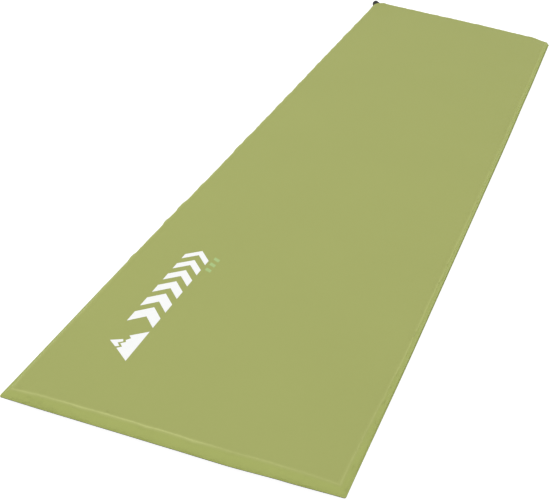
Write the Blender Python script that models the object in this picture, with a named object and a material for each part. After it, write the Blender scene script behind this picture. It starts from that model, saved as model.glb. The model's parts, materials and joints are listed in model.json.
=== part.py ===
"""Self-inflating foam sleeping mat.

An open-cell foam core is sealed between two coated covers that are welded to each other round
a thin rim. One corner is cut across, and the boat-shaped foot of a twist valve is welded into
that cut. The valve's cap runs on a coarse right-hand thread: turning it anticlockwise lifts its
mouth off a fixed plug, and the mat can breathe.

Metres, +Z up. X runs across the mat, +Y points to the valve end, and the origin is on the
ground under the middle of the mat.
"""

import math

import bmesh
import bpy
from mathutils import Matrix, Vector

# ---- mat -----------------------------------------------------------------------------------
MAT_WIDTH = 0.510
MAT_LENGTH = 1.830
MAT_THICKNESS = 0.025
RIM_WIDTH = 0.004           # flat welded rim
SIDE_INSET = 0.0055         # plan width of the rounded side between the rim and the flat face
WELD_HEIGHT = 0.0115        # the weld's level above the ground
CORNER_RADIUS = 0.004
INNER_CORNER_RADIUS = 0.003
FABRIC = 0.0006             # coated fabric
GAP = 0.0003                # between touching pieces

# ---- valve corner --------------------------------------------------------------------------
CORNER_CUT = 0.028          # leg of the cut corner
VALVE_RIM_WIDTH = 0.006     # depth of the weld over the valve's foot
VALVE_LIFT = 0.0045         # the stiff valve holds the weld at its corner up by this
LIFT_START = 0.095          # distance from the corner where the lift begins
LIFT_END = 0.020
MOUTH_HALF_WIDTH = 0.0140   # stretch of the cut where the covers open round the foot

# ---- valve foot and neck (lengths run outward from the cut edge) ------------------------------
FOOT_HALF_WIDTH = 0.0135
FOOT_HALF_HEIGHT = 0.0049
FOOT_TIP = 0.00035
FOOT_DEPTH = 0.0055
FOOT_RIB = 0.00025
FOOT_RIB_COUNT = 3
COLLAR_RADIUS = 0.0076
COLLAR_AT = (0.0004, 0.0019)
NECK_RADIUS = 0.0054        # smooth stretch that the cap's seal slides on, and thread crest
NECK_SMOOTH_END = 0.0084
NECK_ROOT = 0.0046          # thread root
NECK_END = 0.0169
BORE_RADIUS = 0.0028
SEAT_RADIUS = 0.00345       # counterbore that holds the stem
SEAT_START = 0.0143
EDGE_BREAK = 0.0002         # small chamfer on moulded edges
NECK_SINK = 0.0010          # how far the neck runs into the foot

# ---- stem: rod, plug head, three spokes and a ring -------------------------------------------
STEM_ROD_RADIUS = 0.0012
STEM_RING_RADII = (0.0024, 0.00315)
STEM_RING_AT = (0.0146, 0.0162)
SPOKE_COUNT = 3
SPOKE_SIZE = (0.0019, 0.0007, 0.0010)
SPOKE_RADIUS = 0.00175      # radius of a spoke's middle
PLUG_RADIUS = 0.0026
PLUG_START = 0.0176
PLUG_END = 0.0213
PLUG_GROOVE_RADIUS = 0.0018
PLUG_GROOVE_HALF = 0.0007

# ---- thread --------------------------------------------------------------------------------
THREAD_LEAD = 0.0024
THREAD_BASE = 0.0010
THREAD_CREST = 0.0005
THREAD_BITE = 0.0003        # how far a ridge is sunk into its wall
NECK_THREAD_START = 0.0091
NECK_THREAD_TURNS = 2.0
CAP_THREAD_START = 0.0094
CAP_THREAD_TURNS = 0.75
THREAD_STEPS = 40           # per turn

# ---- cap and seals ---------------------------------------------------------------------------
CAP_START = 0.0024
CAP_END = 0.0214
CAP_RADIUS = 0.0090
CAP_ROOT = 0.0083           # between the grip ribs
CAP_RIBS = 16
CAP_RIB_VERTICES = 4        # round the cap for each rib, half of them on its crest
CAP_BORE = 0.00575
CAP_BORE_END = 0.0188
CAP_FACE_RADIUS = 0.0066    # flat ring round the mouth
CAP_SHOULDER_RADIUS = 0.0078
CAP_THREAD_TIP = 0.00495
MOUTH_RADIUS = 0.0032
MOUTH_START = 0.0194
CAP_SEAL_AT = 0.0046
CAP_SEAL_WIRE = 0.0007
STEM_SEAL_AT = 0.0199
STEM_SEAL_WIRE = 0.00045
SEAL_GAP = 0.00025
STOP_RING_AT = (0.0150, 0.0160)
STOP_RING_RADII = (0.0043, 0.00545)
STOP_RING_OPENING = 50.0    # degrees left open in the split ring

ROUND = 48                  # facets round the turned pieces
SMALL_ROUND = 24            # facets round the stem
STOP_RING_STEPS = 36
FOOT_STEPS = 8              # facets across a quarter of the foot
CUT_STEPS = 12              # points along the covers' mouth
LIFT_POINTS = (0.048, 0.068, LIFT_START)
SIDE_ROWS = 4               # rows of faces up the rounded side
ARC_STEPS = 4               # facets round a corner

VALVE_OUT = Vector((-1.0, 1.0, 0.0)).normalized()
VALVE_ALONG = Vector((-1.0, -1.0, 0.0)).normalized()
CORNER = Vector((-MAT_WIDTH / 2, MAT_LENGTH / 2, 0.0))


# ---- scene and materials ---------------------------------------------------------------------
def clear_scene():
    for item in list(bpy.data.objects):
        bpy.data.objects.remove(item, do_unlink=True)


def material(name, rgb, roughness, metallic=0.0):
    """A plain Principled material; rgb is linear."""
    mat = bpy.data.materials.new(name)
    mat.use_nodes = True
    shader = mat.node_tree.nodes["Principled BSDF"]
    shader.inputs["Base Color"].default_value = (*rgb, 1.0)
    shader.inputs["Roughness"].default_value = roughness
    shader.inputs["Metallic"].default_value = metallic
    return mat


def add_object(name, bm, mat=None, parent=None):
    """Turn a bmesh into a named object with smooth round faces and sharp edges."""
    bmesh.ops.remove_doubles(bm, verts=bm.verts, dist=1e-7)
    bmesh.ops.recalc_face_normals(bm, faces=bm.faces)
    mesh = bpy.data.meshes.new(name)
    bm.to_mesh(mesh)
    bm.free()
    mesh.shade_smooth()
    mesh.set_sharp_from_angle(angle=math.radians(35))
    item = bpy.data.objects.new(name, mesh)
    bpy.context.collection.objects.link(item)
    item.parent = parent
    if mat is not None:
        mesh.materials.append(mat)
    return item


def add_empty(name, matrix=None, parent=None):
    item = bpy.data.objects.new(name, None)
    bpy.context.collection.objects.link(item)
    item.empty_display_size = 0.02
    item.parent = parent
    if matrix is not None:
        item.matrix_world = matrix
    return item


def boolean(target, tool, operation):
    """Join or cut with a tool object that stays in the scene as a wire guide."""
    tool.hide_render = True
    tool.display_type = "WIRE"
    modifier = target.modifiers.new(tool.name, "BOOLEAN")
    modifier.object = tool
    modifier.operation = operation
    modifier.solver = "EXACT"


# ---- general shapes --------------------------------------------------------------------------
def bridge(bm, rings, close_rings=False):
    """Quads between successive rings of equal length; each ring is a closed loop."""
    last = len(rings) if close_rings else len(rings) - 1
    for index in range(last):
        low = rings[index]
        high = rings[(index + 1) % len(rings)]
        for j in range(len(low)):
            k = (j + 1) % len(low)
            bm.faces.new((low[j], low[k], high[k], high[j]))


def turned(profile, steps=ROUND, closed=True):
    """A body turned about local Z from (radius, height) points.

    A closed profile makes a ring; an open one has its first and last points capped flat.
    """
    bm = bmesh.new()
    rings = []
    for radius, height in profile:
        ring = []
        for j in range(steps):
            angle = 2 * math.pi * j / steps
            ring.append(bm.verts.new((radius * math.cos(angle), radius * math.sin(angle), height)))
        rings.append(ring)
    bridge(bm, rings, close_rings=closed)
    if not closed:
        bm.faces.new(rings[0])
        bm.faces.new(rings[-1])
    return bm


def round_seal(radius, wire, height, sides=12):
    """An O-ring: centre radius, wire radius and height."""
    profile = []
    for j in range(sides):
        angle = 2 * math.pi * j / sides
        profile.append((radius + wire * math.cos(angle), height + wire * math.sin(angle)))
    return turned(profile)


def thread_ridge(root, crest, start, turns, first_angle):
    """A right-hand helical ridge of trapezoid section whose ends taper into the wall."""
    bm = bmesh.new()
    count = int(THREAD_STEPS * turns)
    taper = THREAD_STEPS // 8
    rings = []
    for step in range(count + 1):
        angle = first_angle + 2 * math.pi * step / THREAD_STEPS
        height = start + THREAD_LEAD * step / THREAD_STEPS
        grown = min(1.0, (min(step, count - step) + 1) / taper)
        tip = root + (crest - root) * grown
        section = ((root, -THREAD_BASE / 2), (tip, -THREAD_CREST / 2),
                   (tip, THREAD_CREST / 2), (root, THREAD_BASE / 2))
        ring = []
        for radius, along in section:
            point = (radius * math.cos(angle), radius * math.sin(angle), height + along)
            ring.append(bm.verts.new(point))
        rings.append(ring)
    bridge(bm, rings)
    bm.faces.new(rings[0])
    bm.faces.new(rings[-1])
    return bm


# ---- outline of the mat ----------------------------------------------------------------------
def smooth_step(value):
    value = min(1.0, max(0.0, value))
    return value * value * (3 - 2 * value)


def weld_level(x, y):
    """Height of the weld, higher round the valve."""
    away = (Vector((x, y, 0.0)) - CORNER).length
    return WELD_HEIGHT + VALVE_LIFT * smooth_step((LIFT_START - away) / (LIFT_START - LIFT_END))


def foot_half_height(u):
    """Half the height of the valve's foot at u along the cut: two arcs that meet in thin tips."""
    arc = (FOOT_HALF_WIDTH ** 2 + FOOT_HALF_HEIGHT ** 2) / (2 * FOOT_HALF_HEIGHT)
    if abs(u) >= FOOT_HALF_WIDTH:
        return 0.0
    return max(FOOT_TIP, math.sqrt(arc ** 2 - u ** 2) - (arc - FOOT_HALF_HEIGHT))


def mouth_opening(x, y):
    """How far each cover stands off the weld level where it passes over the valve's foot."""
    from_cut = Vector((x, y, 0.0)) - cut_middle()
    u = from_cut.dot(VALVE_ALONG)
    inward = -from_cut.dot(VALVE_OUT)
    if inward > VALVE_RIM_WIDTH + 2 * FABRIC or abs(u) > MOUTH_HALF_WIDTH:
        return 0.0
    return foot_half_height(u) + GAP


def cut_middle():
    return CORNER + Vector((CORNER_CUT / 2, -CORNER_CUT / 2, 0.0))


def outline(inset, valve_inset):
    """Plan points of the mat's edge, moved in by inset, and by valve_inset at the cut corner.

    Every outline has the same number of points in the same order, so they bridge.
    """
    x = MAT_WIDTH / 2 - inset
    y = MAT_LENGTH / 2 - inset
    reach = CORNER_CUT + valve_inset * math.sqrt(2) - 2 * inset
    corners = [Vector((-x, -y)), Vector((x, -y)), Vector((x, y)),
               Vector((-x + reach, y)), Vector((-x, y - reach))]
    points = []
    for index, corner in enumerate(corners):
        before = (corners[index - 1] - corner).normalized()
        after = (corners[(index + 1) % len(corners)] - corner).normalized()
        radius = max(INNER_CORNER_RADIUS, CORNER_RADIUS - inset)
        points += rounded_corner(corner, before, after, radius)
        if index == 2:
            points += lift_points(Vector((-MAT_WIDTH / 2, y)), Vector((1, 0)), reversed_order=True)
        if index == 3:
            points += cut_points(valve_inset)
        if index == 4:
            points += lift_points(Vector((-x, MAT_LENGTH / 2)), Vector((0, -1)))
    return points


def rounded_corner(corner, before, after, radius):
    """Points of an arc that touches both edges of a corner."""
    half = before.angle(after) / 2
    centre = corner + (before + after).normalized() * (radius / math.sin(half))
    first = corner + before * (radius / math.tan(half)) - centre
    last = corner + after * (radius / math.tan(half)) - centre
    sweep = first.angle_signed(last)
    points = []
    for step in range(ARC_STEPS + 1):
        points.append(centre + Matrix.Rotation(-sweep * step / ARC_STEPS, 2) @ first)
    return points


def lift_points(start, direction, reversed_order=False):
    """Extra points on an edge next to the valve corner, where the weld rises."""
    points = [start + direction * distance for distance in LIFT_POINTS]
    return points[::-1] if reversed_order else points


def cut_points(valve_inset):
    """Extra points along the cut corner, so that the covers can open round the foot."""
    middle = cut_middle().to_2d() - VALVE_OUT.to_2d() * valve_inset
    points = []
    for step in range(CUT_STEPS + 1):
        u = -MOUTH_HALF_WIDTH + 2 * MOUTH_HALF_WIDTH * step / CUT_STEPS
        points.append(middle + VALVE_ALONG.to_2d() * u)
    return points


def side_ring(bm, turn, start_inset, plan_width, lift, crest, way):
    """One ring of the rounded side; turn goes from 0 at the weld to 90 degrees at the crest.

    way is 1 above the weld and -1 below it; lift is the distance from the weld's middle.
    """
    sideways = plan_width * (1 - math.cos(turn))
    inset = start_inset + sideways
    valve_inset = inset + VALVE_RIM_WIDTH - RIM_WIDTH
    ring = []
    for point in outline(inset, valve_inset):
        base = weld_level(*point) + way * lift
        open_by = mouth_opening(*point) if turn == 0 else 0.0
        height = base + (crest - base) * math.sin(turn) + way * open_by
        ring.append(bm.verts.new((*point, height)))
    return ring


def edge_ring(bm, lift, way):
    """The ring along the mat's outer edge."""
    ring = []
    for point in outline(0.0, 0.0):
        height = weld_level(*point) + way * (lift + mouth_opening(*point))
        ring.append(bm.verts.new((*point, height)))
    return ring


def cover(name, crest, way, mat):
    """A fabric shell: rim, rounded side and flat face, with an outer and an inner skin."""
    bm = bmesh.new()
    inner_lift = GAP / 2
    outer_lift = GAP / 2 + FABRIC
    turns = [math.pi / 2 * row / SIDE_ROWS for row in range(SIDE_ROWS + 1)]
    rings = []
    for turn in reversed(turns):
        rings.append(side_ring(bm, turn, RIM_WIDTH, SIDE_INSET, outer_lift, crest, way))
    rings.append(edge_ring(bm, outer_lift, way))
    rings.append(edge_ring(bm, inner_lift, way))
    inner_crest = crest - way * FABRIC
    for turn in turns:
        rings.append(side_ring(bm, turn, RIM_WIDTH + FABRIC, SIDE_INSET - FABRIC,
                               inner_lift, inner_crest, way))
    bridge(bm, rings)
    bm.faces.new(rings[0])
    bm.faces.new(rings[-1])
    return add_object(name, bm, mat)


def foam_core(mat):
    """The foam slab: it fills the covers and stops short of the valve's foot."""
    bm = bmesh.new()
    start = RIM_WIDTH + FABRIC + GAP
    width = SIDE_INSET - FABRIC - GAP
    turns = [math.pi / 2 * row / SIDE_ROWS for row in range(SIDE_ROWS + 1)]
    floor = FABRIC + GAP
    ceiling = MAT_THICKNESS - FABRIC - GAP
    rings = []
    for turn in reversed(turns[1:]):
        rings.append(side_ring(bm, turn, start, width, 0.0, floor, -1))
    middle = []
    for point in outline(start, start + VALVE_RIM_WIDTH - RIM_WIDTH):
        middle.append(bm.verts.new((*point, weld_level(*point))))
    rings.append(middle)
    for turn in turns[1:]:
        rings.append(side_ring(bm, turn, start, width, 0.0, ceiling, 1))
    bridge(bm, rings)
    bm.faces.new(rings[0])
    bm.faces.new(rings[-1])
    return add_object("foam_core", bm, mat)


# ---- valve -----------------------------------------------------------------------------------
def valve_frame():
    """Local Z runs out through the corner, local X along the cut, local Y is up."""
    middle = cut_middle()
    seat = Vector((middle.x, middle.y, weld_level(middle.x, middle.y)))
    basis = Matrix((VALVE_ALONG, Vector((0, 0, 1)), VALVE_OUT)).transposed()
    return Matrix.Translation(seat) @ basis.to_4x4()


def foot_solid():
    """The flattened foot between the covers, with small ribs that bite into the weld."""
    bm = bmesh.new()
    stations = [-FOOT_DEPTH]
    pitch = FOOT_DEPTH / (FOOT_RIB_COUNT + 0.5)
    for rib in range(FOOT_RIB_COUNT):
        base = -FOOT_DEPTH + pitch * (rib + 0.5)
        stations += [base, base + pitch / 2]
    stations.append(0.0)
    half = FOOT_STEPS
    rings = []
    for index, along in enumerate(stations):
        shrink = 0.0 if index % 2 else FOOT_RIB
        ring = []
        for side in (1, -1):
            for step in range(2 * half):
                u = side * FOOT_HALF_WIDTH * math.cos(math.pi * step / (2 * half))
                height = max(FOOT_TIP, foot_half_height(u) - shrink)
                ring.append(bm.verts.new((u, side * height, along)))
        rings.append(ring)
    bridge(bm, rings)
    bm.faces.new(rings[0])
    bm.faces.new(rings[-1])
    return bm


def neck_profile():
    """Outer profile of the collar and the neck, with the groove for the stop ring."""
    groove = STOP_RING_RADII[0] - GAP
    low = STOP_RING_AT[0] - GAP
    high = STOP_RING_AT[1] + GAP
    collar_low, collar_high = COLLAR_AT
    return [(NECK_ROOT, -NECK_SINK), (NECK_ROOT, collar_low), (COLLAR_RADIUS, collar_low),
            (COLLAR_RADIUS, collar_high - EDGE_BREAK), (COLLAR_RADIUS - EDGE_BREAK, collar_high),
            (NECK_RADIUS, collar_high), (NECK_RADIUS, NECK_SMOOTH_END),
            (NECK_ROOT, NECK_SMOOTH_END + EDGE_BREAK), (NECK_ROOT, low), (groove, low),
            (groove, high), (NECK_ROOT, high), (NECK_ROOT, NECK_END - EDGE_BREAK),
            (NECK_ROOT - EDGE_BREAK, NECK_END)]


def valve_body(mat, frame):
    """Foot, collar and threaded neck with a stepped bore."""
    body = add_object("valve_body", turned(neck_profile(), closed=False), mat, frame)
    foot = add_object("guide_foot", foot_solid(), None, frame)
    ridge = add_object("guide_neck_thread",
                       thread_ridge(NECK_ROOT - THREAD_BITE, NECK_RADIUS, NECK_THREAD_START,
                                    NECK_THREAD_TURNS, 0.0), None, frame)
    bore = add_object("guide_bore",
                      turned([(BORE_RADIUS, -FOOT_DEPTH - 0.001), (BORE_RADIUS, SEAT_START),
                              (SEAT_RADIUS, SEAT_START), (SEAT_RADIUS, NECK_END + 0.001)],
                             closed=False), None, frame)
    boolean(body, foot, "UNION")
    boolean(body, ridge, "UNION")
    boolean(body, bore, "DIFFERENCE")
    return body


def spoke(angle):
    """One of the three spokes that carry the stem in its ring."""
    bm = bmesh.new()
    bmesh.ops.create_cube(bm, size=1.0)
    bmesh.ops.scale(bm, vec=SPOKE_SIZE, verts=bm.verts)
    bmesh.ops.translate(bm, vec=(SPOKE_RADIUS, 0.0, sum(STEM_RING_AT) / 2), verts=bm.verts)
    bmesh.ops.rotate(bm, cent=(0, 0, 0), matrix=Matrix.Rotation(angle, 3, "Z"), verts=bm.verts)
    return bm


def valve_stem(mat, frame):
    """The fixed stem: hub and plug head, three spokes and the ring that sits in the neck."""
    ring_low, ring_high = STEM_RING_AT
    groove_low = STEM_SEAL_AT - PLUG_GROOVE_HALF
    groove_high = STEM_SEAL_AT + PLUG_GROOVE_HALF
    flare = (PLUG_RADIUS - STEM_ROD_RADIUS) / 2
    profile = [(STEM_ROD_RADIUS, ring_low + EDGE_BREAK), (STEM_ROD_RADIUS, PLUG_START),
               (PLUG_RADIUS, PLUG_START + flare), (PLUG_RADIUS, groove_low),
               (PLUG_GROOVE_RADIUS, groove_low), (PLUG_GROOVE_RADIUS, groove_high),
               (PLUG_RADIUS, groove_high), (PLUG_RADIUS, PLUG_END - EDGE_BREAK),
               (PLUG_RADIUS - EDGE_BREAK, PLUG_END)]
    stem = add_object("valve_stem", turned(profile, SMALL_ROUND, closed=False), mat, frame)
    inner, outer = STEM_RING_RADII
    ring_profile = [(inner, ring_low), (outer, ring_low), (outer, ring_high), (inner, ring_high)]
    ring = add_object("guide_stem_ring", turned(ring_profile, SMALL_ROUND), None, frame)
    boolean(stem, ring, "UNION")
    for index in range(SPOKE_COUNT):
        angle = 2 * math.pi * index / SPOKE_COUNT
        arm = add_object("guide_spoke_%d" % (index + 1), spoke(angle), None, frame)
        boolean(stem, arm, "UNION")
    return stem


def stop_ring(mat, frame):
    """The split ring that stops the cap's thread at the end of its travel."""
    bm = bmesh.new()
    inner, outer = STOP_RING_RADII
    low, high = STOP_RING_AT
    sweep = math.radians(360 - STOP_RING_OPENING)
    rings = []
    for step in range(STOP_RING_STEPS + 1):
        angle = sweep * step / STOP_RING_STEPS
        ring = []
        for radius, height in ((inner, low), (outer, low), (outer, high), (inner, high)):
            ring.append(bm.verts.new((radius * math.cos(angle), radius * math.sin(angle), height)))
        rings.append(ring)
    bridge(bm, rings)
    bm.faces.new(rings[0])
    bm.faces.new(rings[-1])
    return add_object("stop_ring", bm, mat, frame)


def cap_seal(mat, frame):
    radius = NECK_RADIUS + SEAL_GAP + CAP_SEAL_WIRE
    return add_object("cap_seal", round_seal(radius, CAP_SEAL_WIRE, CAP_SEAL_AT), mat, frame)


def stem_seal(mat, frame):
    radius = PLUG_GROOVE_RADIUS + SEAL_GAP + STEM_SEAL_WIRE
    return add_object("stem_seal", round_seal(radius, STEM_SEAL_WIRE, STEM_SEAL_AT), mat, frame)


def cap_shell():
    """The cap: ribbed grip outside, seal groove, thread wall and mouth inside."""
    groove_radius = NECK_RADIUS + 2 * SEAL_GAP + 2 * CAP_SEAL_WIRE
    groove_low = CAP_SEAL_AT - CAP_SEAL_WIRE - SEAL_GAP
    groove_high = CAP_SEAL_AT + CAP_SEAL_WIRE + SEAL_GAP
    stations = [(MOUTH_RADIUS, CAP_END, False), (CAP_FACE_RADIUS, CAP_END, False),
                (CAP_SHOULDER_RADIUS, CAP_END - 0.0006, False), (CAP_ROOT, CAP_END - 0.0016, False),
                (CAP_ROOT, CAP_END - 0.0024, True), (CAP_ROOT, CAP_START + 0.0014, True),
                (CAP_ROOT, CAP_START + 0.0007, False), (CAP_ROOT - EDGE_BREAK, CAP_START, False),
                (CAP_BORE, CAP_START, False), (CAP_BORE, groove_low, False),
                (groove_radius, groove_low, False), (groove_radius, groove_high, False),
                (CAP_BORE, groove_high, False), (CAP_BORE, CAP_BORE_END, False),
                (MOUTH_RADIUS, MOUTH_START, False)]
    steps = CAP_RIBS * CAP_RIB_VERTICES
    bm = bmesh.new()
    rings = []
    for radius, height, ribbed in stations:
        ring = []
        for j in range(steps):
            angle = 2 * math.pi * j / steps
            crest = ribbed and j % CAP_RIB_VERTICES < CAP_RIB_VERTICES // 2
            reach = CAP_RADIUS if crest else radius
            ring.append(bm.verts.new((reach * math.cos(angle), reach * math.sin(angle), height)))
        rings.append(ring)
    bridge(bm, rings, close_rings=True)
    return bm


def valve_cap(mat, frame):
    """The cap with its inner thread, which runs midway between the turns of the neck's."""
    cap = add_object("valve_cap", cap_shell(), mat, frame)
    behind = CAP_THREAD_START - NECK_THREAD_START - THREAD_LEAD / 2
    first_angle = 2 * math.pi * behind / THREAD_LEAD
    ridge = add_object("guide_cap_thread",
                       thread_ridge(CAP_BORE + THREAD_BITE, CAP_THREAD_TIP, CAP_THREAD_START,
                                    CAP_THREAD_TURNS, first_angle), None, frame)
    boolean(cap, ridge, "UNION")
    return cap


def main():
    clear_scene()
    top_fabric = material("top_fabric", (0.386, 0.418, 0.141), 0.8)
    base_fabric = material("base_fabric", (0.050, 0.058, 0.048), 0.85)
    foam = material("open_cell_foam", (0.72, 0.66, 0.46), 0.95)
    black_plastic = material("black_plastic", (0.018, 0.018, 0.014), 0.45)
    grey_plastic = material("grey_plastic", (0.12, 0.12, 0.12), 0.4)
    rubber = material("seal_rubber", (0.03, 0.03, 0.03), 0.6)
    spring_steel = material("spring_steel", (0.55, 0.55, 0.56), 0.35, 1.0)

    cover("top_cover", MAT_THICKNESS, 1, top_fabric)
    cover("bottom_cover", 0.0, -1, base_fabric)
    foam_core(foam)

    seat = add_empty("valve_seat", valve_frame())
    carriage = add_empty("cap_carriage", valve_frame())
    spin = add_empty("cap_spin", valve_frame())
    valve_body(black_plastic, seat)
    valve_stem(grey_plastic, seat)
    stem_seal(rubber, seat)
    stop_ring(spring_steel, seat)
    cap_seal(rubber, carriage)
    valve_cap(black_plastic, spin)


main()
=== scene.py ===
"""Looks of the self-inflating sleeping mat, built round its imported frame.

The two coated covers are meshed as thin skins over a foam slab: welded rim, sloping side, tight
bend at the foam's edge and a flat face. Cloth simulation puckers the loose strip of fabric
between the foam and the weld. A generic print lies on the top, and the valve keeps its CAD
shapes under moulded plastic, rubber and steel materials.

Metres, +Z up. X runs across the mat and +Y points to the valve end.
"""

import json
import math

import bmesh
import bpy
from mathutils import Euler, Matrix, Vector, noise


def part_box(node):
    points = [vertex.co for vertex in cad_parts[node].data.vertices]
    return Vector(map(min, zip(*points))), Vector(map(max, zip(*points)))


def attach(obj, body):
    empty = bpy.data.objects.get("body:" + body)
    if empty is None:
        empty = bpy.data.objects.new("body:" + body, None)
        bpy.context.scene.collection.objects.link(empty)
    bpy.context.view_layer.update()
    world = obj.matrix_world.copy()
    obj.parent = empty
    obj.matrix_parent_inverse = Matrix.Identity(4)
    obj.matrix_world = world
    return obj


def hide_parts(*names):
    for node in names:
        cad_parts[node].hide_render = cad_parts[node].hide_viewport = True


ROOT_TWO = math.sqrt(2.0)

# ---- sizes that the CAD part also has ----------------------------------------------------------
FABRIC = 0.0006
GAP = 0.0003
SIDE_WIDTH = 0.0055         # plan width of the slope between the rim and the flat face
WELD_HEIGHT = 0.0115
CORNER_CUT = 0.028          # leg of the cut corner that holds the valve
VALVE_RIM_WIDTH = 0.006     # depth of the weld over the valve's foot
VALVE_LIFT = 0.0045         # the weld is this much higher at the valve
LIFT_START = 0.095          # distance from the corner where the lift begins
LIFT_END = 0.020
MOUTH_HALF_WIDTH = 0.014    # stretch of the cut where the covers open round the foot
FOOT_HALF_WIDTH = 0.0135
FOOT_HALF_HEIGHT = 0.0049

# ---- how the covers lie ------------------------------------------------------------------------
VALVE_CORNER = 3            # corners and sides are counted anticlockwise from the near left corner
CORNER_RADIUS = 0.003
RADIUS_SHRINK = 0.3         # the corner's radius falls by this much of the inset
LEAST_CUT = 0.001           # a cut shorter than this is left out
# Widths at even steps along the near end, right side, far end and left side, in that order.
RIM_WIDTHS = ((0.0015, 0.0015),
              (0.0015, 0.0015, 0.0015, 0.0020, 0.0025, 0.0030),
              (0.0030, 0.0030),
              (0.0030, 0.0025, 0.0020, 0.0015))
SIDE_WIDTHS = ((0.0110, 0.0130, 0.0130, 0.0110),
               (0.0110, 0.0055, 0.0038, 0.0040, 0.0048, SIDE_WIDTH),
               (SIDE_WIDTH, SIDE_WIDTH),
               (SIDE_WIDTH, SIDE_WIDTH, 0.0065, 0.0110))
ROUND_WIDTH = 0.005         # a side this narrow is fully rounded
SLOPED_WIDTH = 0.010        # a side this wide is nearly a straight slope
LEAST_ROUNDNESS = 0.12
CREST_WANDER = 0.0008       # the bend at the foam's edge wanders in and out by up to this
WANDER_LENGTH = 0.045
SIDE_NOISE_STEP = 2.7       # sets the four sides apart in the noise
# How strong the highlight painted along the crest is, at even steps along the same four sides.
BEND_HIGHLIGHT_STRENGTHS = ((0.5, 0.9, 0.8, 0.5, 0.3), (0.35, 0.4, 0.4, 0.35), (0.4, 0.4), (0.3, 0.3))
NEAR_SKEW = 0.0155          # the near end isn't cut quite square: left corner out, right corner in
SKEW_REACH = 0.60           # the skew dies away over this length
FAR_RIGHT_PULL = 0.0058     # the far right corner is pulled in lengthways by this
# How far the long sides stand off straight lines, towards +X, at even steps from the near end.
LEFT_BOW = (-0.0006, -0.0021, 0.0010, 0.0014, 0.0004, 0.0)
RIGHT_BOW = (-0.0015, 0.0006, 0.0007, 0.0005, -0.0015, -0.0044)
# How far the near end stands off a straight line, towards +Y, at even steps from the left.
NEAR_BOW = (0.0, -0.0008, -0.0011, -0.0015, -0.0021, 0.0005, 0.0026)
NEAR_BOW_REACH = 0.20
CREST_LIFT = 0.0030         # the valve's foot holds the top face up by this at its corner
CREST_LIFT_START = 0.024
CREST_LIFT_END = 0.012
CORNER_DROOP = 0.0050       # the weld pinches the three plain corners, so the face dips there
DROOP_REACH = 0.060
VALVE_STEEPNESS = 0.6       # the slope over the valve's foot is narrower than elsewhere
SURFACE_WAVE = 0.00035      # height of the slow waves of the foam's faces
WAVES_ACROSS = 7.0          # waves to the metre
WAVES_ALONG = 5.0
WAVE_LEVEL = 3.0            # the slice of the noise that the waves are read from
BASE_WAVE = 0.3             # the base's waves are this much of the top's
REST_LIFT = 0.0003          # the grip coating holds the base fabric off the ground by this

# ---- mesh density --------------------------------------------------------------------------------
FINE_STEP = 0.0018          # at the corners
COARSE_STEP = 0.005         # in the middle of a side
STEP_GROWTH = 0.09
RIM_ROWS = 3
SIDE_ROWS = 8
GRID_INSET = 0.040          # where the rings end and the grid of the flat face begins
GRID_VALVE_INSET = (2 * GRID_INSET - CORNER_CUT) / ROOT_TWO    # there the cut corner has closed
FLAT_SHARES = (0.06, 0.15, 0.28, 0.45, 0.70)   # rings between the side's crest and the grid
BEND_HIGHLIGHT_REACH = 0.18           # share of the side's rows that the highlight painted along the bend covers
SHARP_ANGLE = 50.0          # degrees; a sharper edge of the fabric is shaded crisp
FOAM_SHARP_ANGLE = 40.0

# ---- cloth -----------------------------------------------------------------------------------------
CLOTH_FRAMES = 16
CLOTH_QUALITY = 8
CLOTH_MASS = 0.2
CLOTH_STRETCH = 12.0        # stiffnesses
CLOTH_SHEAR = 4.0
CLOTH_BENDING = 0.05
CLOTH_PRESSURE = 1.0        # of the foam from within
CLOTH_GROWTH = 0.018        # share of spare fabric between the foam and the weld
CLOTH_CORNER_GROWTH = 0.06
CLOTH_CORNER_REACH = 0.10
CLOTH_LIMIT = 0.0012        # the fabric moves no further than this
CLOTH_SINK = 0.0002         # the foam stops the fabric from going in any further
FREE_FLAT_RINGS = 2         # rings of the flat face that the puckers run into
FOAM_DEPTH = 0.0013         # of the foam's faces under the outer skin
FOAM_SLACK = 0.0010         # the foam's side stays this much further in

# ---- print on the top, from the near left corner ---------------------------------------------------
PRINT_START = 0.126         # from the near end
PRINT_BASE = 0.128          # from the left side
PRINT_HEIGHT = 0.044
PRINT_CELL = 0.010          # the film is cut into cells of this size
PRINT_LIFT = 0.00003        # gap between the fabric and the film
PRINT_FILM = 0.00006
# Outlines of the two peaks: metres along the print, then shares of its height.
PEAK_ROCK = ((0.000, 0.0), (0.021, 0.60), (0.027, 0.46), (0.033, 0.60), (0.039, 0.46),
             (0.043, 0.52), (0.050, 0.40), (0.055, 0.52), (0.076, 0.0))
PEAK_SNOW = ((0.0235, 0.68), (0.034, 1.0), (0.0435, 0.62), (0.039, 0.56), (0.033, 0.70),
             (0.027, 0.56))
CHEVRON_START = 0.086
CHEVRON_COUNT = 6
CHEVRON_STROKE = 0.026
CHEVRON_THINNING = 0.45     # the last stroke is this much thinner than the first
CHEVRON_DEPTH = 0.022
CHEVRON_GAP = 0.0165
DASH_COUNT = 3
DASH_START = 0.2585
DASH_PITCH = 0.017
DASH_WIDTH = 0.008
DASH_SLANT = 0.004
DASH_HEIGHT = 0.011
DASH_DROP = 0.0165          # below the foot of the chevrons

# ---- stage ---------------------------------------------------------------------------------------
FLOOR_REACH = 30.0
FLOOR_WHITE = (0.30, 0.30, 0.30)
FLOOR_GLOW = 0.90           # the floor is lit from below, as a light table is

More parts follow.
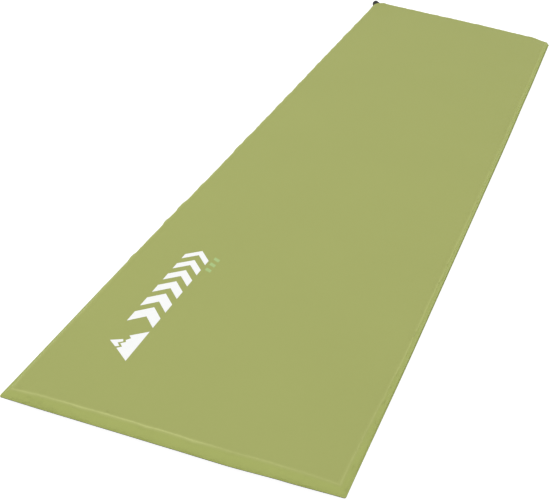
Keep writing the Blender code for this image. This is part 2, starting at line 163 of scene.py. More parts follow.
# ---- fabric detail -------------------------------------------------------------------------------
GREEN_THREAD = 0.0003       # width of a thread
BASE_THREAD = 0.00035
THREAD_SHADE = 0.06         # painted light and shade of the weave: the threads' crowns are painted this much lighter, and their gaps darker
# the same painted light and shade of the weave, fainter, in the ink
INK_SHADE = 0.02
WAVE_UNIT = math.pi / 10    # Blender's wave texture has this scale at one band to the metre
KNURL_SCALE = 900.0         # squares to the metre, pressed into the weld
PORE_SCALE = 900.0          # foam cells to the metre
GRIP_PITCH = 0.016
DOT_OUTSIDE = 0.22          # radius of a grip dot, in pitches, and of its flat top
DOT_INSIDE = 0.16
DOT_DARKNESS = 0.45

# ---- colours, linear ---------------------------------------------------------------------------
TOP_GREEN = (0.349, 0.379, 0.127)
SIDE_LIT_GREEN = (0.360, 0.402, 0.124)   # painted light: the slopes are painted brighter and more saturated than the top, for how the light falls on them
BEND_HIGHLIGHT_GREEN = (0.58, 0.62, 0.25)      # painted highlight along the bend over the foam's edge
BASE_CHARCOAL = (0.040, 0.045, 0.040)
# painted highlight along the base's bend over the foam's edge
BASE_BEND_HIGHLIGHT = (0.060, 0.066, 0.060)
BASE_SIDE = (0.036, 0.041, 0.036)
FOAM_CREAM = (0.72, 0.66, 0.46)
PRINT_WHITE = (0.85, 0.86, 0.85)
PRINT_PALE_GREEN = (0.35, 0.49, 0.17)
PLASTIC_BLACK = (0.016, 0.016, 0.013)
PLASTIC_GREY = (0.12, 0.12, 0.12)
RUBBER_BLACK = (0.024, 0.024, 0.024)
SPRING_STEEL = (0.56, 0.56, 0.57)

# ---- camera and light ------------------------------------------------------------------------------
CAMERA_PLACE = (0.4260, -1.8201, 1.0186)
CAMERA_TURN = (56.116, -5.735, 20.306)     # degrees
CAMERA_LENS = 66.09                        # millimetres
CAMERA_SHIFT = -0.05
WORLD_STRENGTH = 1.0
SOFTBOX_PLACE = (-0.8, -0.5, 2.2)
SOFTBOX_SIZE = 1.2
SOFTBOX_POWER = 7.0


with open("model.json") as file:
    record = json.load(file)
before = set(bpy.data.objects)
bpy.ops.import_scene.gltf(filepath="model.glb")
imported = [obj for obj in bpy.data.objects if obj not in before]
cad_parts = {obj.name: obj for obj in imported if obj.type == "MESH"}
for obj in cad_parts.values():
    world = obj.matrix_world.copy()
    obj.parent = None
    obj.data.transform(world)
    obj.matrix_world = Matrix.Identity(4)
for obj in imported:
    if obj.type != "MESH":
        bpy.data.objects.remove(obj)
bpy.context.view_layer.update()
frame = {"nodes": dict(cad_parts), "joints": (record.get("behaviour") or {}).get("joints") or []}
TOP_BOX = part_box("top_cover")
HALF_WIDTH = TOP_BOX[1].x
HALF_LENGTH = TOP_BOX[1].y
THICKNESS = TOP_BOX[1].z
VALVE_JOINT = next(joint for joint in frame["joints"] if joint["name"] == "cap_turn")
VALVE_OUT = Vector(VALVE_JOINT["axis"]).to_2d().normalized()
VALVE_ALONG = Vector((-VALVE_OUT.y, VALVE_OUT.x))
CORNER = Vector((-HALF_WIDTH, HALF_LENGTH))
CUT_MIDDLE = CORNER + Vector((CORNER_CUT / 2, -CORNER_CUT / 2))


# ---- outline of the mat ----------------------------------------------------------------------------
def clamped(value):
    """The value, held between 0 and 1."""
    return min(1.0, max(0.0, value))


def smooth_step(value):
    """0 to 1 with soft ends, held at 0 before and at 1 after."""
    value = clamped(value)
    return value * value * (3 - 2 * value)


def corner_distance(point):
    """Plan distance to the nearest corner of the mat's full rectangle."""
    return Vector((HALF_WIDTH - abs(point.x), HALF_LENGTH - abs(point.y))).length


def spread(values, share):
    """Smoothly interpolated value at a share (0 to 1) of the way along evenly spaced values."""
    position = share * (len(values) - 1)
    index = min(int(position), len(values) - 2)
    blend = smooth_step(position - index)
    return values[index] * (1 - blend) + values[index + 1] * blend


def stations(length):
    """Shares along one side, closely spaced at both corners; the last corner is left out."""
    steps = [0.0]
    while steps[-1] < length / 2:
        steps.append(steps[-1] + min(COARSE_STEP, FINE_STEP + STEP_GROWTH * steps[-1]))
    half = [0.5 * step / steps[-1] for step in steps]
    return half + [1.0 - share for share in reversed(half[1:-1])]


SIDE_SHARES = [stations(2 * HALF_WIDTH), stations(2 * HALF_LENGTH)] * 2
PERIMETER = [(side, share) for side in range(4) for share in SIDE_SHARES[side]]


def arc_point(first, corner, last, share):
    """Point on the round arc that touches both sides of a corner."""
    weight = math.cos((corner - first).angle(last - corner) / 2)
    a = (1 - share) ** 2
    b = 2 * weight * share * (1 - share)
    c = share ** 2
    return (first * a + corner * b + last * c) / (a + b + c)


def ring_point(side, share, inset, valve_inset):
    """Plan point of the outline moved in by inset, and by valve_inset at the cut corner."""
    x = HALF_WIDTH - inset
    y = HALF_LENGTH - inset
    corners = [Vector((-x, -y)), Vector((x, -y)), Vector((x, y)), Vector((-x, y))]
    length = (corners[(side + 1) % 4] - corners[side]).length
    past = share * length
    index = side
    if share > 0.5:
        past -= length
        index = (side + 1) % 4
    corner = corners[index]
    before = (corners[index - 1] - corner).normalized()
    after = (corners[(index + 1) % 4] - corner).normalized()
    radius = max(0.0, CORNER_RADIUS - RADIUS_SHRINK * inset)
    if index == VALVE_CORNER:
        return cut_point(corner, before, after, past, radius,
                         CORNER_CUT + ROOT_TWO * valve_inset - 2 * inset)
    if abs(past) >= radius:
        return corner + (after if past > 0 else before) * abs(past)
    return arc_point(corner + before * radius, corner, corner + after * radius,
                     0.5 + 0.5 * past / radius)


def cut_point(corner, before, after, past, radius, reach):
    """Point round the valve corner, which is cut across and softly rounded at both ends."""
    soft = min(radius * math.tan(math.pi / 8), reach / (2 * ROOT_TWO))
    if reach <= LEAST_CUT or abs(past) >= reach + soft:
        return corner + (after if past > 0 else before) * abs(past)
    first = corner + before * reach
    last = corner + after * reach
    along = (last - first).normalized()
    if abs(past) <= reach - soft * ROOT_TWO:
        return (first + last) / 2 + along * (past / ROOT_TWO)
    turned = (abs(past) - (reach - soft * ROOT_TWO)) / (soft * (1 + ROOT_TWO))
    if past < 0:
        return arc_point(first + before * soft, first, first + along * soft, 1 - turned)
    return arc_point(last - along * soft, last, last + after * soft, turned)


def weld_level(point):
    """Height of the weld, higher round the valve."""
    away = (point - CORNER).length
    return WELD_HEIGHT + VALVE_LIFT * smooth_step((LIFT_START - away) / (LIFT_START - LIFT_END))


def mouth_opening(point):
    """How far each cover stands off the weld where it passes over the valve's foot."""
    from_cut = point - CUT_MIDDLE
    u = abs(from_cut.dot(VALVE_ALONG))
    inward = -from_cut.dot(VALVE_OUT)
    if inward > VALVE_RIM_WIDTH + 2 * FABRIC or u > MOUTH_HALF_WIDTH:
        return 0.0
    arc = (FOOT_HALF_WIDTH ** 2 + FOOT_HALF_HEIGHT ** 2) / (2 * FOOT_HALF_HEIGHT)
    foot = math.sqrt(arc ** 2 - min(u, FOOT_HALF_WIDTH) ** 2) - (arc - FOOT_HALF_HEIGHT)
    return foot + GAP


def corner_droop(point):
    """How far the top face dips at this point, towards the nearest plain corner."""
    if point.x < 0 < point.y:
        return 0.0
    return CORNER_DROOP * smooth_step(1 - corner_distance(point) / DROOP_REACH)


def face_height(point, way):
    """Height of a flat face, with the foam's slow waves and the shape of its corners."""
    spot = Vector((point.x * WAVES_ACROSS, point.y * WAVES_ALONG, WAVE_LEVEL + way))
    wave = SURFACE_WAVE * noise.noise(spot)
    if way < 0:
        return REST_LIFT + abs(wave) * BASE_WAVE
    away = (point - CUT_MIDDLE).length
    nearness = smooth_step((CREST_LIFT_START - away) / (CREST_LIFT_START - CREST_LIFT_END))
    return THICKNESS + wave + CREST_LIFT * nearness - corner_droop(point)


def lie(point):
    """Where a point of the covers ends up on the ground, as a plan offset."""
    across = point.x / HALF_WIDTH
    along = clamped(0.5 + 0.5 * point.y / HALF_LENGTH)
    bow = spread(LEFT_BOW, along) * (1 - across) / 2 + spread(RIGHT_BOW, along) * (1 + across) / 2
    skew = NEAR_SKEW * across * smooth_step((-point.y - HALF_LENGTH + SKEW_REACH) / SKEW_REACH)
    pull = FAR_RIGHT_PULL * smooth_step(across) * smooth_step(2 * point.y / HALF_LENGTH - 1)
    nearness = smooth_step((-point.y - HALF_LENGTH + NEAR_BOW_REACH) / NEAR_BOW_REACH)
    near_bow = spread(NEAR_BOW, clamped(0.5 + 0.5 * across)) * nearness
    return Vector((bow, skew - pull + near_bow))


# ---- skins of the covers ---------------------------------------------------------------------------
def side_profile(width, turn):
    """Shares of width and height up the side; turn goes from 0 at the weld to 1 at the crest."""
    straight = smooth_step((width - ROUND_WIDTH) / (SLOPED_WIDTH - ROUND_WIDTH))
    roundness = 1 - (1 - LEAST_ROUNDNESS) * straight
    angle = turn * math.pi / 2
    across = roundness * (1 - math.cos(angle)) + (1 - roundness) * turn
    up = roundness * math.sin(angle) + (1 - roundness) * turn
    return across, up


def slope_width(side, share, way):
    """Plan width of the slope, with the small wander of the bend at its upper edge."""
    length = 2 * (HALF_WIDTH if side % 2 == 0 else HALF_LENGTH)
    spot = Vector((share * length / WANDER_LENGTH, SIDE_NOISE_STEP * side, way))
    ends = smooth_step(min(share, 1 - share) * length / WANDER_LENGTH)
    return spread(SIDE_WIDTHS[side], share) + CREST_WANDER * ends * noise.noise(spot)


def skin_rings(way, depth, slack):
    """Rings of one skin from its outer edge to the grid, as lists of points.

    depth is how far the skin lies under the outer skin, and slack how much further its side does.
    """
    rows = [[] for _ in range(RIM_ROWS + SIDE_ROWS + 1 + len(FLAT_SHARES))]
    lift = way * (GAP / 2 + FABRIC - min(depth, FABRIC))
    inside = depth + slack
    for side, share in PERIMETER:
        rim = spread(RIM_WIDTHS[side], share)
        width = slope_width(side, share, way)
        column = []
        for step in range(RIM_ROWS):
            part = step / RIM_ROWS
            point = ring_point(side, share, rim * part, VALVE_RIM_WIDTH * part)
            column.append((*point, weld_level(point) + lift + way * mouth_opening(point)))
        for step in range(SIDE_ROWS + 1):
            across, up = side_profile(width, step / SIDE_ROWS)
            past_rim = inside + (width - inside) * across
            valve_inset = VALVE_RIM_WIDTH + VALVE_STEEPNESS * past_rim
            point = ring_point(side, share, rim + past_rim, valve_inset)
            base = weld_level(point) + lift
            if step == 0:
                base += way * mouth_opening(point)
            crest = face_height(point, way) - way * depth
            column.append((*point, base + (crest - base) * up))
        valve_crest = VALVE_RIM_WIDTH + VALVE_STEEPNESS * width
        for part in FLAT_SHARES:
            inset = rim + width + (GRID_INSET - rim - width) * part
            valve_inset = valve_crest + (GRID_VALVE_INSET - valve_crest) * part
            point = ring_point(side, share, inset, valve_inset)
            column.append((*point, face_height(point, way) - way * depth))
        for row, point in zip(rows, column):
            row.append(point)
    return rows


def skin_mesh(way):
    """A bmesh of one cover's outer skin, facing outward, and its rings of vertices."""
    bm = bmesh.new()
    bm.verts.layers.float.new("rim")
    bm.verts.layers.float.new("side")
    bm.verts.layers.float.new("bend")
    bm.verts.layers.float_vector.new("lay")
    rings = [[bm.verts.new(point) for point in row] for row in skin_rings(way, 0.0, 0.0)]
    bridge(bm, rings, way)
    fill_flat(bm, rings[-1], way, 0.0)
    return bm, rings


def bridge(bm, rings, way):
    """Faces between each ring and the next."""
    for low, high in zip(rings, rings[1:]):
        for j in range(len(low)):
            k = (j + 1) % len(low)
            add_face(bm, (low[j], low[k], high[k], high[j]), way)


def add_face(bm, verts, way):
    """A face that looks up on the top cover and down on the base cover."""
    bm.faces.new(verts if way > 0 else verts[::-1])


def flat_vertex(bm, point, way, depth):
    """A vertex on a flat face, or this deep under it."""
    return bm.verts.new((*point, face_height(point, way) - way * depth))


def fill_flat(bm, last, way, depth):
    """The flat face: a ring of triangles that halves the number of points, then a grid."""
    inner = []
    for side, share in PERIMETER[::2]:
        point = ring_point(side, share, GRID_INSET, GRID_VALVE_INSET)
        inner.append(flat_vertex(bm, point, way, depth))
    for j, vertex in enumerate(inner):
        ahead = inner[(j + 1) % len(inner)]
        middle = last[2 * j + 1]
        add_face(bm, (last[2 * j], middle, vertex), way)
        add_face(bm, (middle, ahead, vertex), way)
        add_face(bm, (middle, last[(2 * j + 2) % len(last)], ahead), way)

    columns = SIDE_SHARES[0][::2] + [1.0]
    lines = SIDE_SHARES[1][::2] + [1.0]
    right = len(columns) - 1
    far = len(lines) - 1
    grid = {}
    for i in range(right):
        grid[i, 0] = inner[i]
        grid[right - i, far] = inner[right + far + i]
    for j in range(far):
        grid[right, j] = inner[right + j]
        grid[0, far - j] = inner[2 * right + far + j]
    x = HALF_WIDTH - GRID_INSET
    y = HALF_LENGTH - GRID_INSET
    for i in range(1, right):
        for j in range(1, far):
            point = Vector(((2 * columns[i] - 1) * x, (2 * lines[j] - 1) * y))
            grid[i, j] = flat_vertex(bm, point, way, depth)
    for i in range(right):
        for j in range(far):
            add_face(bm, (grid[i, j], grid[i + 1, j], grid[i + 1, j + 1], grid[i, j + 1]), way)


def new_object(name, bm, body="mat"):
    """An object from a bmesh, riding on a CAD body."""
    mesh = bpy.data.meshes.new(name)
    bm.to_mesh(mesh)
    bm.free()
    item = bpy.data.objects.new(name, mesh)
    bpy.context.scene.collection.objects.link(item)
    if body:
        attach(item, body)
    return item


def apply_modifiers(item):
    """Bake an object's modifiers into its mesh."""
    shape = item.evaluated_get(bpy.context.evaluated_depsgraph_get())
    mesh = bpy.data.meshes.new_from_object(shape)
    item.modifiers.clear()
    item.data = mesh


def shade(item, sharp_angle):
    """Smooth shading, but for edges that are sharper than this angle in degrees."""
    item.data.shade_smooth()
    item.data.set_sharp_from_angle(angle=math.radians(sharp_angle))


def thicken(item, thickness):
    """Give a skin its fabric thickness, inward, and smooth shading with crisp cut edges."""
    solid = item.modifiers.new("fabric", "SOLIDIFY")
    solid.thickness = thickness
    solid.offset = -1.0
    apply_modifiers(item)
    shade(item, SHARP_ANGLE)


# ---- puckered sides ----------------------------------------------------------------------------
def corner_nearness(point):
    """1 at a corner of the mat, falling to 0 further along the edge."""
    return 1 - smooth_step(corner_distance(point) / CLOTH_CORNER_REACH)


def pucker(rings, way):
    """Simulate the loose strip between the weld and the foam as cloth, and move the rings to it.

    The strip is pinned along the weld and on the foam's face. It has a little spare fabric,
    most of it at the corners, so it buckles into soft creases. The foam stops it from going in.
    """
    loose = rings[RIM_ROWS:RIM_ROWS + SIDE_ROWS + FREE_FLAT_RINGS + 2]
    bm = bmesh.new()
    copies = [[bm.verts.new(vertex.co) for vertex in ring] for ring in loose]
    bridge(bm, copies, way)
    strip = new_object("cloth_strip", bm, body=None)
    around = len(loose[0])
    pins = strip.vertex_groups.new(name="pins")
    pins.add(list(range(around)), 1.0, "REPLACE")
    pins.add(list(range(around * (len(loose) - 1), around * len(loose))), 1.0, "REPLACE")
    spare = strip.vertex_groups.new(name="spare")
    for vertex in strip.data.vertices:
        spare.add([vertex.index], corner_nearness(vertex.co), "REPLACE")

    cloth = strip.modifiers.new("cloth", "CLOTH").settings
    cloth.quality = CLOTH_QUALITY
    cloth.mass = CLOTH_MASS
    cloth.tension_stiffness = CLOTH_STRETCH
    cloth.compression_stiffness = CLOTH_STRETCH
    cloth.shear_stiffness = CLOTH_SHEAR
    cloth.bending_stiffness = CLOTH_BENDING
    cloth.vertex_group_mass = pins.name
    cloth.vertex_group_shrink = spare.name
    cloth.shrink_min = -CLOTH_GROWTH
    cloth.shrink_max = -CLOTH_CORNER_GROWTH
    cloth.use_pressure = True
    cloth.uniform_pressure_force = CLOTH_PRESSURE
    cloth.effector_weights.gravity = 0.0
    scene = bpy.context.scene
    for step in range(1, CLOTH_FRAMES + 1):
        scene.frame_set(step)
    shape = strip.evaluated_get(bpy.context.evaluated_depsgraph_get()).data
    moved = [vertex.co.copy() for vertex in shape.vertices]
    for index, vertex in enumerate(vertex for ring in loose for vertex in ring):
        shift = moved[index] - vertex.co
        sunk = -shift.dot(vertex.normal) - CLOTH_SINK
        if sunk > 0:
            shift += vertex.normal * sunk
        if shift.length > CLOTH_LIMIT:
            shift *= CLOTH_LIMIT / shift.length
        valve_away = (vertex.co.to_2d() - CORNER).length
        vertex.co += shift * smooth_step(valve_away / CLOTH_CORNER_REACH)
        vertex.co.z = max(vertex.co.z, REST_LIFT)
    bpy.data.objects.remove(strip, do_unlink=True)
    scene.frame_set(1)


def spread_out(bm, rings):
    """Store where every vertex would lie if the fabric were spread out flat, for its weave."""
    lay = bm.verts.layers.float_vector["lay"]
    for vertex in bm.verts:
        vertex[lay] = vertex.co
    crest = RIM_ROWS + SIDE_ROWS
    for column in zip(*rings[:crest + 1]):
        outward = (column[0].co - column[crest].co).to_2d().normalized().to_3d()
        for row in reversed(range(crest)):
            step = (column[row].co - column[row + 1].co).length
            column[row][lay] = column[row + 1][lay] + outward * step


def make_cover(name, way, mat, node):
    """One cover: skin, puckers, the lie of the mat, material masks and fabric thickness."""
    bm, rings = skin_mesh(way)
    bm.normal_update()
    pucker(rings, way)
    rim = bm.verts.layers.float["rim"]
    slope = bm.verts.layers.float["side"]
    bend = bm.verts.layers.float["bend"]
    for row, ring in enumerate(rings):
        past = (row - RIM_ROWS) / SIDE_ROWS
        for (side, share), vertex in zip(PERIMETER, ring):
            vertex[rim] = 1 - smooth_step(past * 2)
            vertex[slope] = 1 - smooth_step(3 * past - 2)
            # bend marks where a highlight is painted into the colour along the crest
            vertex[bend] = 1 - smooth_step(abs(past - 1) / BEND_HIGHLIGHT_REACH)
            vertex[bend] *= spread(BEND_HIGHLIGHT_STRENGTHS[side], share)
    spread_out(bm, rings)
    settle(bm)
    item = new_object(name, bm)
    thicken(item, FABRIC)
    item.data.materials.append(mat)
    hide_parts(node)


def settle(bm):
    """Move every vertex to where the mat really lies."""
    for vertex in bm.verts:
        shift = lie(vertex.co)
        vertex.co.x += shift.x
        vertex.co.y += shift.y


def make_foam(mat):
    """The foam slab inside: it fills the covers, a little short of the puckered sides."""
    bm = bmesh.new()
    halves = []
    for way in (-1, 1):
        rows = skin_rings(way, FOAM_DEPTH, FOAM_SLACK)[RIM_ROWS:]
        rings = [[bm.verts.new(point) for point in row] for row in rows]
        bridge(bm, rings, way)
        fill_flat(bm, rings[-1], way, FOAM_DEPTH)
        halves.append(rings[0])
    bridge(bm, halves, 1)
    settle(bm)
    item = new_object("foam_slab", bm)
    shade(item, FOAM_SHARP_ANGLE)
    item.data.materials.append(mat)
    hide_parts("foam_core")


# ---- print on the top --------------------------------------------------------------------------
def print_point(along, up):
    """Plan point of the print; it reads along +Y, with its top towards the left side."""
    return Vector((-HALF_WIDTH + PRINT_BASE - up, -HALF_LENGTH + PRINT_START + along))


def peaks():
    """Two mountain peaks with a zigzag snow line, as closed outlines."""
    return [[(along, share * PRINT_HEIGHT) for along, share in outline]
            for outline in (PEAK_ROCK, PEAK_SNOW)]


def chevrons():
    """A row of chevrons that get thinner along the print."""
    shapes = []
    start = CHEVRON_START
    for index in range(CHEVRON_COUNT):
        stroke = CHEVRON_STROKE * (1 - CHEVRON_THINNING * index / (CHEVRON_COUNT - 1))
        tip = start + CHEVRON_DEPTH
        middle = PRINT_HEIGHT / 2
        shapes.append([(start, 0.0), (start + stroke, 0.0), (tip + stroke, middle),
                       (start + stroke, PRINT_HEIGHT), (start, PRINT_HEIGHT), (tip, middle)])
        start += stroke + CHEVRON_GAP
    return shapes


def dashes():
    """A few small slanted dashes beside the main print."""
    shapes = []
    for index in range(DASH_COUNT):
        start = DASH_START + index * DASH_PITCH
        shapes.append([(start, -DASH_DROP), (start + DASH_WIDTH, -DASH_DROP),
                       (start + DASH_WIDTH + DASH_SLANT, -DASH_DROP + DASH_HEIGHT),
                       (start + DASH_SLANT, -DASH_DROP + DASH_HEIGHT)])
    return shapes


def make_print(name, shapes, mat):
    """A thin film of ink, cut into small pieces that follow the fabric's surface."""
    bm = bmesh.new()
    for shape in shapes:
        points = [print_point(along, up) for along, up in shape]
        bm.faces.new([bm.verts.new((*point, 0.0)) for point in points])
    for axis, half in ((Vector((1, 0, 0)), HALF_WIDTH), (Vector((0, 1, 0)), HALF_LENGTH)):
        for step in range(1, int(2 * half / PRINT_CELL)):
            bmesh.ops.bisect_plane(bm, geom=bm.verts[:] + bm.edges[:] + bm.faces[:],
                                   plane_co=axis * (step * PRINT_CELL - half), plane_no=axis)
    bmesh.ops.recalc_face_normals(bm, faces=bm.faces)
    if bm.faces[:][0].normal.z < 0:
        bmesh.ops.reverse_faces(bm, faces=bm.faces)
    for vertex in bm.verts:
        vertex.co.z = face_height(vertex.co.to_2d(), 1) + PRINT_LIFT + PRINT_FILM
    settle(bm)
    item = new_object(name, bm)
    thicken(item, PRINT_FILM)
    item.data.materials.append(mat)


# ---- materials ---------------------------------------------------------------------------------
def surface(name):
    """A new node material, its tree and its Principled shader."""
    mat = bpy.data.materials.new(name)
    mat.use_nodes = True
    return mat, mat.node_tree, mat.node_tree.nodes["Principled BSDF"]


def node(tree, kind, inputs=None, **settings):
    """Add a node, set its options, and fill its inputs with values or links."""
    item = tree.nodes.new(kind)
    for key, value in settings.items():
        setattr(item, key, value)
    for key, value in (inputs or {}).items():
        if isinstance(value, bpy.types.NodeSocket):
            tree.links.new(value, item.inputs[key])
        else:
            item.inputs[key].default_value = value
    return item


def place(tree):
    """Position on the piece, in metres."""
    return node(tree, "ShaderNodeTexCoord").outputs["Object"]


def mask(tree, name):
    """A number that the mesh holds at each vertex."""
    return node(tree, "ShaderNodeAttribute", attribute_name=name).outputs["Fac"]


def cloudy(tree, scale, detail=3.0):
    """Soft noise from 0 to 1 with the given scale."""
    return node(tree, "ShaderNodeTexNoise",
                {"Vector": place(tree), "Scale": scale, "Detail": detail}).outputs["Fac"]


def flattened(tree, spot):
    """Plan position of a point."""
    return node(tree, "ShaderNodeVectorMath", {0: spot, 1: (1.0, 1.0, 0.0)},
                operation="MULTIPLY").outputs[0]


def weave(tree, thread, spot):
    """Height of a plain weave whose threads are this wide."""
    scale = WAVE_UNIT / (2 * thread)
    over = []
    for direction in ("X", "Y"):
        over.append(node(tree, "ShaderNodeTexWave", {"Vector": spot, "Scale": scale},
                         wave_type="BANDS", bands_direction=direction).outputs["Fac"])
    swap = node(tree, "ShaderNodeTexChecker", {"Vector": spot, "Scale": 1 / (2 * thread)})
    return node(tree, "ShaderNodeMix", {"Factor": swap.outputs["Fac"], "A": over[0], "B": over[1]},
                data_type="FLOAT").outputs["Result"]


def mixed(tree, factor, first, second):
    """A colour between two colours or colour sockets."""
    mix = node(tree, "ShaderNodeMix", data_type="RGBA")
    for index, value in ((0, factor), (6, first), (7, second)):
        if isinstance(value, bpy.types.NodeSocket):
            tree.links.new(value, mix.inputs[index])
        else:
            mix.inputs[index].default_value = value
    return mix.outputs[2]


def scaled(colour, factor):
    """The colour, lighter or darker by a factor, with its alpha."""
    return (*(channel * factor for channel in colour), 1.0)


def tinted(tree, colour, scale, amount):
    """The colour with soft lighter and darker patches."""
    return mixed(tree, cloudy(tree, scale), scaled(colour, 1 - amount), scaled(colour, 1 + amount))


def threaded(tree, colour, threads, amount):
    """The colour with the weave's light and shade painted in: lighter on the crowns of the threads and
    darker in their gaps.
    """
    return node(tree, "ShaderNodeHueSaturation",
                {"Color": colour, "Value": ranged(tree, threads, 1 - amount, 1 + amount)}).outputs[0]


def maths(tree, operation, first, second):
    """Result of a Math node on two values or sockets."""
    return node(tree, "ShaderNodeMath", {0: first, 1: second}, operation=operation).outputs[0]


def ranged(tree, value, low, high):
    """A 0 to 1 value mapped to a range."""
    return node(tree, "ShaderNodeMapRange", {"Value": value, "To Min": low, "To Max": high}).outputs[0]


def uneven(tree, roughness, scale, amount):
    """The roughness with smoother and rougher patches."""
    return ranged(tree, cloudy(tree, scale), roughness - amount, roughness + amount)


def relief(tree, shader, height, distance, strength, under=None):
    """Bump on the shader, on top of an earlier bump."""
    inputs = {"Height": height, "Distance": distance, "Strength": strength}
    if under:
        inputs["Normal"] = under
    bump = node(tree, "ShaderNodeBump", inputs)
    tree.links.new(bump.outputs["Normal"], shader.inputs["Normal"])
    return bump.outputs["Normal"]


def coated_fabric(name, colour, side_colour, bend_highlight_colour, thread, roughness, specular):
    """Woven polyester with a coating: weave, slow creases, tint patches, a pressed rim and a painted
    highlight along the bend.
    """
    mat, tree, shader = surface(name)
    # the slopes take side_colour, which on the green cover is painted light
    plain = mixed(tree, mask(tree, "side"), tinted(tree, colour, scale=5.0, amount=0.02),
                  tinted(tree, side_colour, scale=30.0, amount=0.03))
    # the highlight painted along the bend, in patches of varying strength
    patchy = ranged(tree, cloudy(tree, scale=22.0), low=0.3, high=1.0)
    painted_highlight = maths(tree, "MULTIPLY", mask(tree, "bend"), patchy)
    coated = mixed(tree, painted_highlight, plain, scaled(bend_highlight_colour, 1.0))
    lay = flattened(tree, node(tree, "ShaderNodeAttribute", attribute_name="lay").outputs["Vector"])
    threads = weave(tree, thread, lay)
    tree.links.new(threaded(tree, coated, threads, THREAD_SHADE), shader.inputs["Base Color"])
    tree.links.new(uneven(tree, roughness, scale=14.0, amount=0.03), shader.inputs["Roughness"])
    shader.inputs["Specular IOR Level"].default_value = specular
    slow = cloudy(tree, scale=32.0, detail=2.0)
    creased = relief(tree, shader, slow, distance=0.0012, strength=0.10)
    woven = relief(tree, shader, threads, distance=0.00008, strength=0.5, under=creased)
    knurl = node(tree, "ShaderNodeTexChecker", {"Vector": lay, "Scale": KNURL_SCALE})
    pressed = maths(tree, "MULTIPLY", knurl.outputs["Fac"], mask(tree, "rim"))
    relief(tree, shader, pressed, distance=0.00010, strength=0.8, under=woven)
    return mat


def grip_fabric():
    """Base fabric with rows of printed rubber grip dots on its flat face."""
    mat = coated_fabric("grip_fabric", BASE_CHARCOAL, BASE_SIDE, BASE_BEND_HIGHLIGHT, BASE_THREAD,
                        roughness=0.62, specular=0.4)
    tree = mat.node_tree
    shader = tree.nodes["Principled BSDF"]
    woven = shader.inputs["Normal"].links[0].from_socket
    cells = node(tree, "ShaderNodeTexVoronoi",
                 {"Vector": place(tree), "Scale": 1 / GRIP_PITCH, "Randomness": 0.0},
                 voronoi_dimensions="2D")
    dot = node(tree, "ShaderNodeMapRange",
               {"Value": cells.outputs["Distance"], "From Min": DOT_OUTSIDE,
                "From Max": DOT_INSIDE, "To Min": 0.0, "To Max": 1.0}).outputs[0]
    dot = maths(tree, "MULTIPLY", dot, maths(tree, "SUBTRACT", 1.0, mask(tree, "side")))
    relief(tree, shader, dot, distance=0.0003, strength=0.8, under=woven)
    colour = shader.inputs["Base Color"].links[0].from_socket
    tree.links.new(mixed(tree, dot, colour, scaled(BASE_CHARCOAL, DOT_DARKNESS)),
                   shader.inputs["Base Color"])
    return mat


def open_foam():
    """Open-cell foam: small pores and a mottled cream colour."""
    mat, tree, shader = surface("open_foam")
    tree.links.new(tinted(tree, FOAM_CREAM, scale=60.0, amount=0.06), shader.inputs["Base Color"])
    shader.inputs["Roughness"].default_value = 0.95
    pores = node(tree, "ShaderNodeTexVoronoi", {"Vector": place(tree), "Scale": PORE_SCALE})
    relief(tree, shader, pores.outputs["Distance"], distance=0.0006, strength=0.7)
    return mat


def ink(name, colour):
    """Screen-print ink that lets the weave show a little."""
    mat, tree, shader = surface(name)
    threads = weave(tree, GREEN_THREAD, flattened(tree, place(tree)))
    film = tinted(tree, colour, scale=120.0, amount=0.015)
    tree.links.new(threaded(tree, film, threads, INK_SHADE), shader.inputs["Base Color"])
    shader.inputs["Roughness"].default_value = 0.5
    relief(tree, shader, threads, distance=0.00005, strength=0.5)
    return mat


def moulded(name, colour, roughness):
    """Injection-moulded plastic with a fine spark-eroded grain."""
    mat, tree, shader = surface(name)
    tree.links.new(tinted(tree, colour, scale=150.0, amount=0.12), shader.inputs["Base Color"])
    tree.links.new(uneven(tree, roughness, scale=400.0, amount=0.06), shader.inputs["Roughness"])
    shader.inputs["Specular IOR Level"].default_value = 0.2
    grain = cloudy(tree, scale=3500.0, detail=2.0)
    relief(tree, shader, grain, distance=0.00005, strength=0.35)
    return mat


def spring_wire():
    """Bright drawn spring steel."""
    mat, tree, shader = surface("bright_spring_steel")
    tree.links.new(tinted(tree, SPRING_STEEL, scale=300.0, amount=0.08), shader.inputs["Base Color"])
    shader.inputs["Metallic"].default_value = 1.0
    drawn = ranged(tree, cloudy(tree, scale=900.0), low=0.25, high=0.42)
    tree.links.new(drawn, shader.inputs["Roughness"])
    return mat


def repaint(name, mat):
    """Give a CAD node that stays shown a finished material."""
    slots = frame["nodes"][name].data.materials
    slots.clear()
    slots.append(mat)


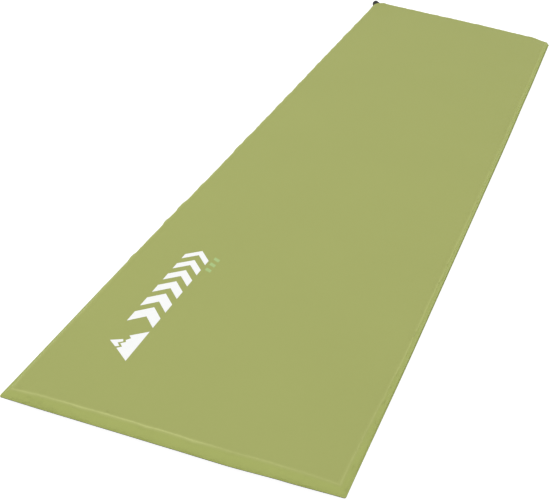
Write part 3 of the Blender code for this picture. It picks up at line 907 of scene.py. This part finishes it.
# ---- stage -------------------------------------------------------------------------------------
def make_stage():
    """A pale floor, an even white surround and one large soft light from the front left."""
    bm = bmesh.new()
    bmesh.ops.create_grid(bm, x_segments=4, y_segments=4, size=FLOOR_REACH)
    floor = new_object("floor", bm, body=None)
    mat, tree, shader = surface("studio_floor")
    tree.links.new(tinted(tree, FLOOR_WHITE, scale=1.5, amount=0.004), shader.inputs["Base Color"])
    shader.inputs["Roughness"].default_value = 0.9
    shader.inputs["Specular IOR Level"].default_value = 0.0
    shader.inputs["Emission Color"].default_value = (1.0, 1.0, 1.0, 1.0)
    shader.inputs["Emission Strength"].default_value = FLOOR_GLOW
    floor.data.materials.append(mat)

    world = bpy.data.worlds.new("studio")
    world.use_nodes = True
    backdrop = world.node_tree.nodes["Background"]
    backdrop.inputs["Color"].default_value = (1.0, 1.0, 1.0, 1.0)
    backdrop.inputs["Strength"].default_value = WORLD_STRENGTH
    bpy.context.scene.world = world

    lamp = bpy.data.lights.new("softbox", "AREA")
    lamp.shape = "SQUARE"
    lamp.size = SOFTBOX_SIZE
    lamp.energy = SOFTBOX_POWER
    softbox = bpy.data.objects.new("softbox", lamp)
    softbox.location = SOFTBOX_PLACE
    softbox.rotation_euler = (-Vector(SOFTBOX_PLACE)).to_track_quat("-Z", "Y").to_euler()
    bpy.context.scene.collection.objects.link(softbox)


def make_camera():
    """The camera, from the near right."""
    lens = bpy.data.cameras.new("camera")
    lens.lens = CAMERA_LENS
    lens.shift_x = CAMERA_SHIFT
    camera = bpy.data.objects.new("camera", lens)
    camera.location = CAMERA_PLACE
    camera.rotation_euler = Euler([math.radians(angle) for angle in CAMERA_TURN])
    bpy.context.scene.collection.objects.link(camera)
    bpy.context.scene.camera = camera
    bpy.context.scene.view_settings.view_transform = "Standard"


def main():
    """Build everything that is seen."""
    make_camera()
    make_stage()
    green = coated_fabric("green_fabric", TOP_GREEN, SIDE_LIT_GREEN, BEND_HIGHLIGHT_GREEN, GREEN_THREAD,
                          roughness=0.55, specular=0.03)
    make_cover("top_cover_fabric", 1, green, "top_cover")
    make_cover("base_cover_fabric", -1, grip_fabric(), "bottom_cover")
    make_foam(open_foam())
    make_print("print_white", peaks() + chevrons(), ink("white_ink", PRINT_WHITE))
    make_print("print_pale_green", dashes(), ink("pale_green_ink", PRINT_PALE_GREEN))
    repaint("valve_body", moulded("valve_plastic_black", PLASTIC_BLACK, roughness=0.42))
    repaint("valve_cap", moulded("cap_plastic_black", PLASTIC_BLACK, roughness=0.36))
    repaint("valve_stem", moulded("stem_plastic_grey", PLASTIC_GREY, roughness=0.40))
    for seal in ("cap_seal", "stem_seal"):
        repaint(seal, moulded(seal + "_rubber", RUBBER_BLACK, roughness=0.60))
    repaint("stop_ring", spring_wire())


main()
